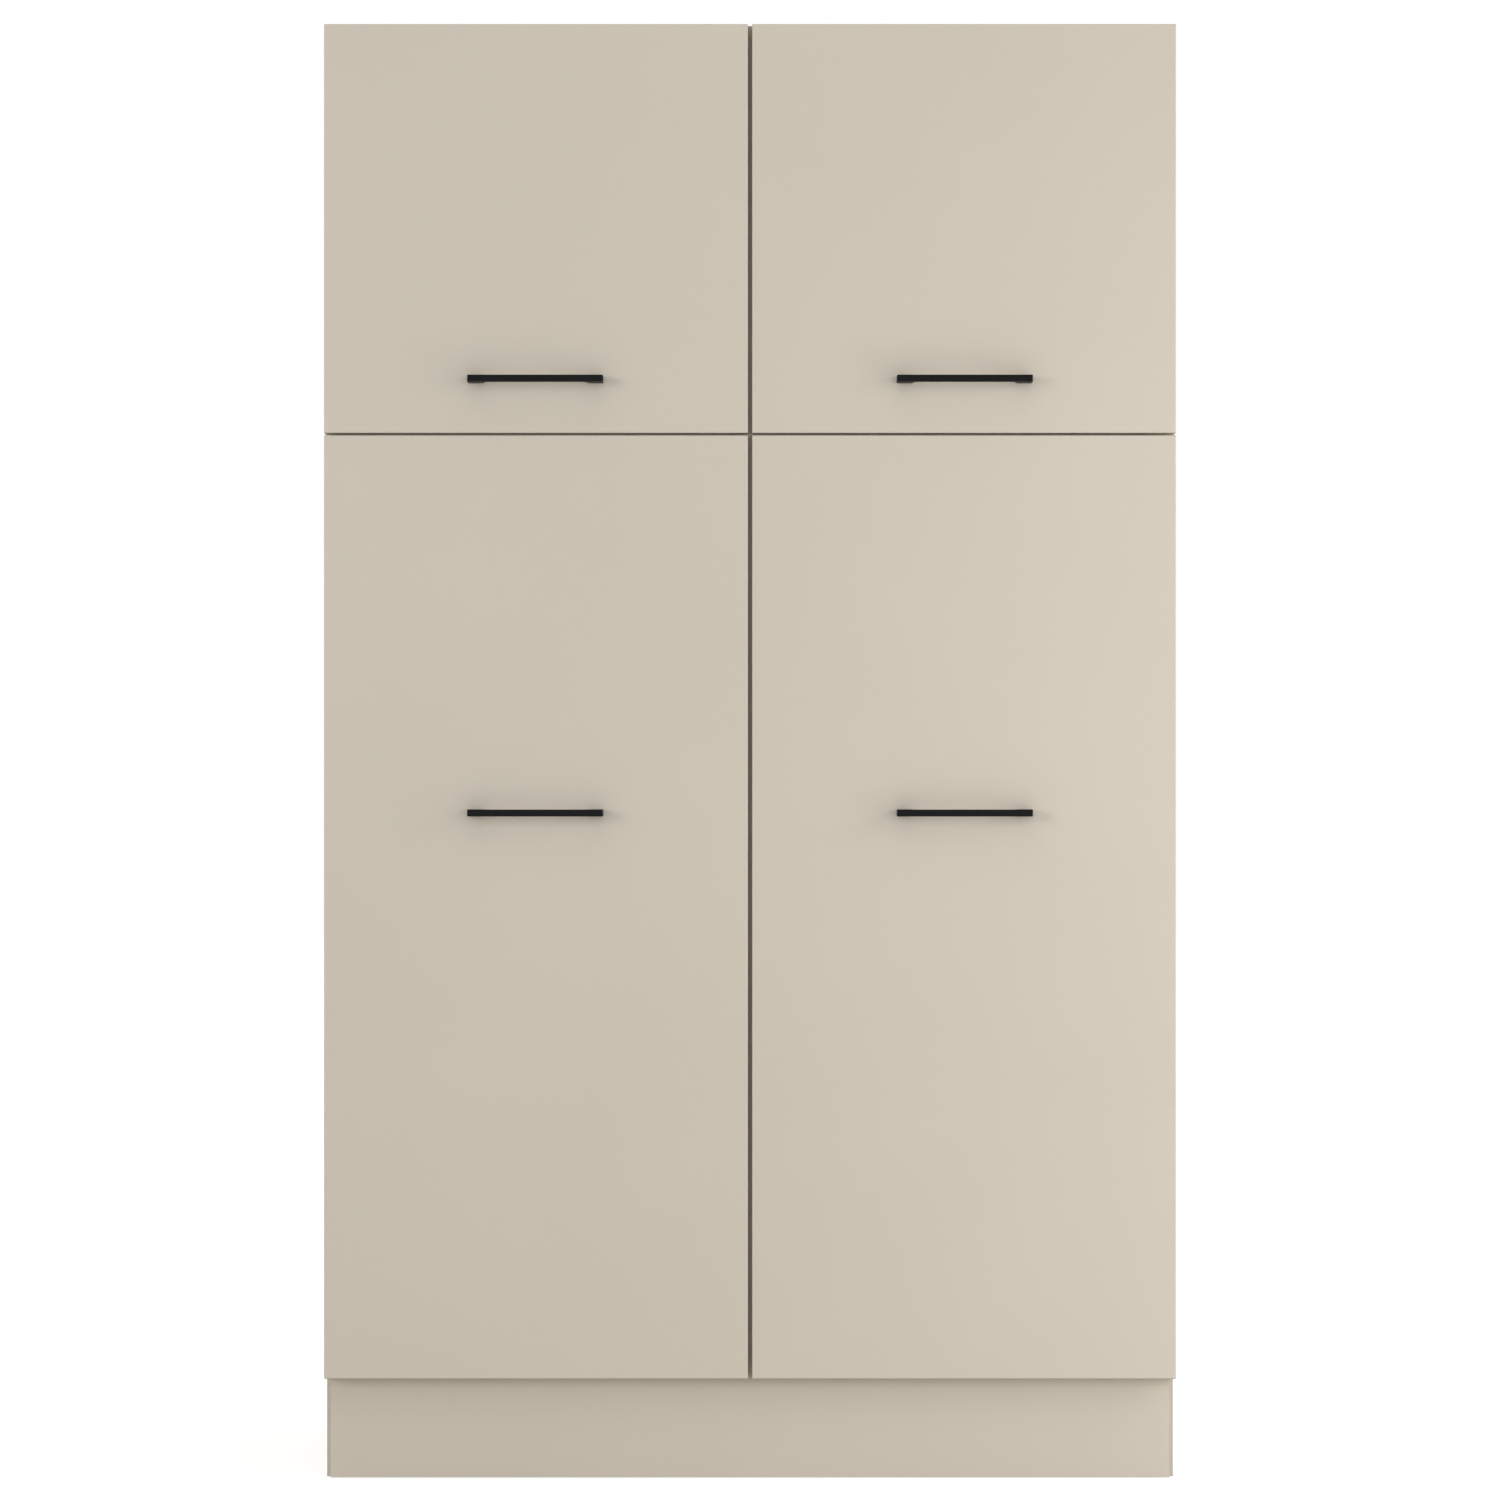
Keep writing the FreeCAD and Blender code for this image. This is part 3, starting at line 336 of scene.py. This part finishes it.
def box_of(points):
    """The lowest and the highest corner of the box round the points."""
    low = Vector([min(p[i] for p in points) for i in range(3)])
    high = Vector([max(p[i] for p in points) for i in range(3)])
    return low, high


def standing_on(base, way):
    """The matrix that moves a form from the origin to the base and turns its Z along the way."""
    return Matrix.Translation(base) @ way.to_track_quat("Z", "Y").to_matrix().to_4x4()


def ring_pairs(ring):
    """Each item of a closed ring with the next one."""
    return list(zip(ring, ring[1:] + ring[:1]))


def join_rings(mesh, first, second):
    """Faces between two rings of equally many points."""
    for (a, b), (c, d) in zip(ring_pairs(first), ring_pairs(second)):
        mesh.faces.new((a, b, d, c))


def add_rings(mesh, profile, to_place):
    """Add the rings of a turned form, joined by faces; the profile is a list of radius and height."""
    angles = [2 * math.pi * i / ROUND_SIDES for i in range(ROUND_SIDES)]
    rings = []
    for radius, height in profile:
        points = [Vector((radius * math.cos(a), radius * math.sin(a), height)) for a in angles]
        rings.append([mesh.verts.new(to_place @ point) for point in points])
    for first, second in zip(rings, rings[1:]):
        join_rings(mesh, first, second)
    return rings


def replace_node(name, ending, add_form):
    """Put a piece in place of a CAD node; add_form adds one form for each of the node's solids."""
    mesh = bmesh.new()
    for points in solids_of(name):
        add_form(mesh, points)
    bmesh.ops.recalc_face_normals(mesh, faces=mesh.faces)
    data = bpy.data.meshes.new(name + ending)
    mesh.to_mesh(data)
    mesh.free()
    data.polygons.foreach_set("use_smooth", [True] * len(data.polygons))
    data.set_sharp_from_angle(angle=SHARP_ANGLE)
    data.materials.append(materials[slot_of[name]])
    piece = bpy.data.objects.new(name + ending, data)
    bpy.context.scene.collection.objects.link(piece)
    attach(piece, body_of[name])
    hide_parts(name)


# Screws with a cross recess: its sizes are shares of the head's radius, and its depth of the head's height
CROSS_HALF_WIDTH = 0.13
CROSS_REACH = 0.52
CROSS_DEPTH = 0.65
CROSS_FLOOR = 0.55
# Rings of a head, as shares of its radius and of its height above the seat
PAN_RINGS = ((0.74, 1.0), (0.92, 0.82), (1.0, 0.5), (1.0, 0.0))
COUNTERSUNK_RINGS = ((1.0, 1.0), (1.0, 0.96))
# How near a point's radius has to be to that of the head's rim or of the shank to count as part of it
RIM_SHARE = 0.95
SHANK_SHARE = 1.05


class ScrewForm:
    """The sizes of one screw, read from the points of its CAD solid."""

    def __init__(self, points):
        low, high = box_of(points)
        middle = (low + high) / 2
        axis = max(range(3), key=lambda i: high[i] - low[i])

        def radius(point):
            away = point - middle
            away[axis] = 0.0
            return away.length

        self.head_radius = max(radius(p) for p in points)
        rim = [p[axis] for p in points if radius(p) > RIM_SHARE * self.head_radius]
        self.countersunk = max(rim) - min(rim) < SEAM
        forward = high[axis] - max(rim) > min(rim) - low[axis]
        self.tip_way = Vector([float(i == axis) for i in range(3)]) * (1 if forward else -1)
        face, tip = (low[axis], high[axis]) if forward else (high[axis], low[axis])
        self.shank_radius = max(radius(p) for p in points if abs(p[axis] - tip) < SEAM)
        shank = [p[axis] for p in points if SEAM < radius(p) < SHANK_SHARE * self.shank_radius]
        seat = min(shank) if forward else max(shank)
        self.seat = middle.copy()
        self.seat[axis] = seat
        self.head_height = abs(seat - face)
        self.length = abs(tip - seat)


def cross_outline(reach, half):
    """The twelve corners of a cross, in order."""
    quarter = [(reach, half), (half, half), (half, reach)]
    corners = []
    for turn in range(4):
        spin = Matrix.Rotation(turn * math.pi / 2, 2)
        corners += [tuple(spin @ Vector(point)) for point in quarter]
    return corners


def add_screw(mesh, points):
    """Add one screw to the mesh: a head with a cross recess, then a plain shank with a tapered tip."""
    form = ScrewForm(points)
    head_rings = COUNTERSUNK_RINGS if form.countersunk else PAN_RINGS
    profile = [(form.head_radius * r, -form.head_height * h) for r, h in head_rings]
    taper = form.shank_radius / 2
    profile += [(form.shank_radius, 0.0), (form.shank_radius, form.length - taper), (taper, form.length)]
    to_place = standing_on(form.seat, form.tip_way)
    rings = add_rings(mesh, profile, to_place)
    mesh.faces.new(rings[-1])

    def cross(share, height):
        corners = cross_outline(CROSS_REACH * form.head_radius, CROSS_HALF_WIDTH * form.head_radius)
        return [mesh.verts.new(to_place @ Vector((x * share, y * share, height))) for x, y in corners]

    top = -form.head_height
    mouth = cross(1.0, top)
    bottom = cross(CROSS_FLOOR, top + CROSS_DEPTH * form.head_height)
    join_rings(mesh, mouth, bottom)
    mesh.faces.new(bottom)
    border = [mesh.edges.get(pair) for ring in (rings[0], mouth) for pair in ring_pairs(ring)]
    bmesh.ops.triangle_fill(mesh, edges=border, use_beauty=True)


# Domed bumpers: rings as shares of the radius and of the height above the door
BUMPER_RINGS = ((1.0, 0.0), (1.0, 0.25), (0.96, 0.5), (0.84, 0.74), (0.64, 0.91), (0.36, 1.0))
TO_BACK = Vector((0.0, 1.0, 0.0))


def add_bumper(mesh, points):
    """Add one bumper to the mesh, which stands on the door's back."""
    low, high = box_of(points)
    radius = (high.x - low.x) / 2
    height = high.y - low.y
    base = Vector(((low.x + high.x) / 2, low.y, (low.z + high.z) / 2))
    profile = [(radius * r, height * h) for r, h in BUMPER_RINGS]
    rings = add_rings(mesh, profile, standing_on(base, TO_BACK))
    mesh.faces.new(rings[0])
    mesh.faces.new(rings[-1])


for name in sorted(nodes):
    if name.endswith("_screws"):
        replace_node(name, "_recessed", add_screw)
    elif name.endswith("_bumpers"):
        replace_node(name, "_domed", add_bumper)


# Floor and light
def white_to_camera(tree):
    """1 for the rays that show the surroundings as they look, which are to be white."""
    path = tree.nodes.new("ShaderNodeLightPath")
    total = path.outputs["Is Camera Ray"]
    for name in ("Is Glossy Ray", "Is Transmission Ray"):
        larger = tree.nodes.new("ShaderNodeMath")
        larger.operation = "MAXIMUM"
        tree.links.new(total, larger.inputs[0])
        tree.links.new(path.outputs[name], larger.inputs[1])
        total = larger.outputs[0]
    return total


def grey(value):
    return (value, value, value, 1.0)


FLOOR_HALF = 20.0
FLOOR_ALBEDO = 0.68
# What the camera sees: a share of the lit floor, which holds the shadow, and white added to it
FLOOR_SHOWS_SHADOW = 0.75
FLOOR_WHITE = 0.65


def floor():
    mesh = bpy.data.meshes.new("floor")
    corners = [(x * FLOOR_HALF, y * FLOOR_HALF, 0.0) for x, y in ((-1, -1), (1, -1), (1, 1), (-1, 1))]
    mesh.from_pydata(corners, [], [(0, 1, 2, 3)])
    made = bpy.data.objects.new("floor", mesh)
    bpy.context.scene.collection.objects.link(made)
    material = bpy.data.materials.new("floor_white")
    material.use_nodes = True
    tree = material.node_tree
    tree.nodes.clear()
    diffuse = tree.nodes.new("ShaderNodeBsdfDiffuse")
    diffuse.inputs["Color"].default_value = grey(FLOOR_ALBEDO)
    glow = tree.nodes.new("ShaderNodeEmission")
    glow.inputs["Strength"].default_value = FLOOR_WHITE / (1 - FLOOR_SHOWS_SHADOW)
    share = tree.nodes.new("ShaderNodeMath")
    share.operation = "MULTIPLY"
    share.inputs[1].default_value = 1 - FLOOR_SHOWS_SHADOW
    tree.links.new(white_to_camera(tree), share.inputs[0])
    mixed = tree.nodes.new("ShaderNodeMixShader")
    tree.links.new(share.outputs[0], mixed.inputs["Fac"])
    tree.links.new(diffuse.outputs["BSDF"], mixed.inputs[1])
    tree.links.new(glow.outputs["Emission"], mixed.inputs[2])
    output = tree.nodes.new("ShaderNodeOutputMaterial")
    tree.links.new(mixed.outputs["Shader"], output.inputs["Surface"])
    mesh.materials.append(material)


# Brightness of the studio walls and ceiling, by the upward part of the direction.
# Most of it comes from low down, all round.
SKY_STRENGTH = 1.5
SKY_STOPS = ((0.0, 1.0), (0.12, 0.9), (0.3, 0.9), (0.45, 0.2), (0.7, 0.4), (1.0, 0.7))
# The wall opposite the doors is darker than the others; it is bounded by the direction's part along Y
DARK_WALL = 0.35
DARK_WALL_FROM = -0.98
DARK_WALL_TO = -0.9


def sky():
    world = bpy.data.worlds.new("studio")
    bpy.context.scene.world = world
    world.use_nodes = True
    tree = world.node_tree
    tree.nodes.clear()
    direction = tree.nodes.new("ShaderNodeTexCoord")
    split = tree.nodes.new("ShaderNodeSeparateXYZ")
    tree.links.new(direction.outputs["Generated"], split.inputs["Vector"])
    ramp = tree.nodes.new("ShaderNodeValToRGB")
    stops = ramp.color_ramp.elements
    while len(stops) < len(SKY_STOPS):
        stops.new(1.0)
    for stop, (height, share) in zip(stops, SKY_STOPS):
        stop.position = height
        stop.color = grey(share)
    tree.links.new(split.outputs["Z"], ramp.inputs["Fac"])
    wall = tree.nodes.new("ShaderNodeMapRange")
    wall.interpolation_type = "SMOOTHSTEP"
    wall.inputs["From Min"].default_value = DARK_WALL_FROM
    wall.inputs["From Max"].default_value = DARK_WALL_TO
    wall.inputs["To Min"].default_value = DARK_WALL * SKY_STRENGTH
    wall.inputs["To Max"].default_value = SKY_STRENGTH
    tree.links.new(split.outputs["Y"], wall.inputs["Value"])
    light = tree.nodes.new("ShaderNodeBackground")
    tree.links.new(ramp.outputs["Color"], light.inputs["Color"])
    tree.links.new(wall.outputs["Result"], light.inputs["Strength"])
    white = tree.nodes.new("ShaderNodeBackground")
    white.inputs["Color"].default_value = grey(1.0)
    mixed = tree.nodes.new("ShaderNodeMixShader")
    tree.links.new(white_to_camera(tree), mixed.inputs["Fac"])
    tree.links.new(light.outputs["Background"], mixed.inputs[1])
    tree.links.new(white.outputs["Background"], mixed.inputs[2])
    output = tree.nodes.new("ShaderNodeOutputWorld")
    tree.links.new(mixed.outputs["Shader"], output.inputs["Surface"])


LIGHT_TARGET = Vector((0.0, -0.27, 1.03))


def area_light(name, place, width, height, radiance):
    """A softbox that faces the doors; its radiance is the brightness of its face."""
    lamp = bpy.data.lights.new(name, "AREA")
    lamp.shape = "RECTANGLE"
    lamp.size = width
    lamp.size_y = height
    lamp.energy = radiance * math.pi * width * height
    made = bpy.data.objects.new(name, lamp)
    bpy.context.scene.collection.objects.link(made)
    made.location = place
    made.rotation_euler = (LIGHT_TARGET - Vector(place)).to_track_quat("-Z", "Y").to_euler()
    made.visible_camera = False


# Camera: level, square to the doors, and at the height that the middle of the picture shows.
# The lens and the distance are measured on the picture.
PICTURE_PIXELS = 1500
FOCAL_PIXELS = 4942
CAMERA_DISTANCE = 6.96
CAMERA_HEIGHT = 1.0304
SENSOR_WIDTH = 36.0


def camera():
    lens = bpy.data.cameras.new("camera")
    lens.sensor_width = SENSOR_WIDTH
    lens.lens = FOCAL_PIXELS / PICTURE_PIXELS * SENSOR_WIDTH
    made = bpy.data.objects.new("camera", lens)
    bpy.context.scene.collection.objects.link(made)
    door_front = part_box("upper_left_door_panel")[0].y
    made.location = (0.0, door_front - CAMERA_DISTANCE, CAMERA_HEIGHT)
    made.rotation_euler = (math.radians(90), 0.0, 0.0)
    bpy.context.scene.camera = made


floor()
sky()
area_light("right_strip", place=(2.1, -1.2, 1.05), width=0.7, height=2.0, radiance=4.7)
area_light("left_softbox", place=(-3.9, -4.9, 2.0), width=1.6, height=1.6, radiance=6.2)
camera()
bpy.context.scene.view_settings.view_transform = "Standard"
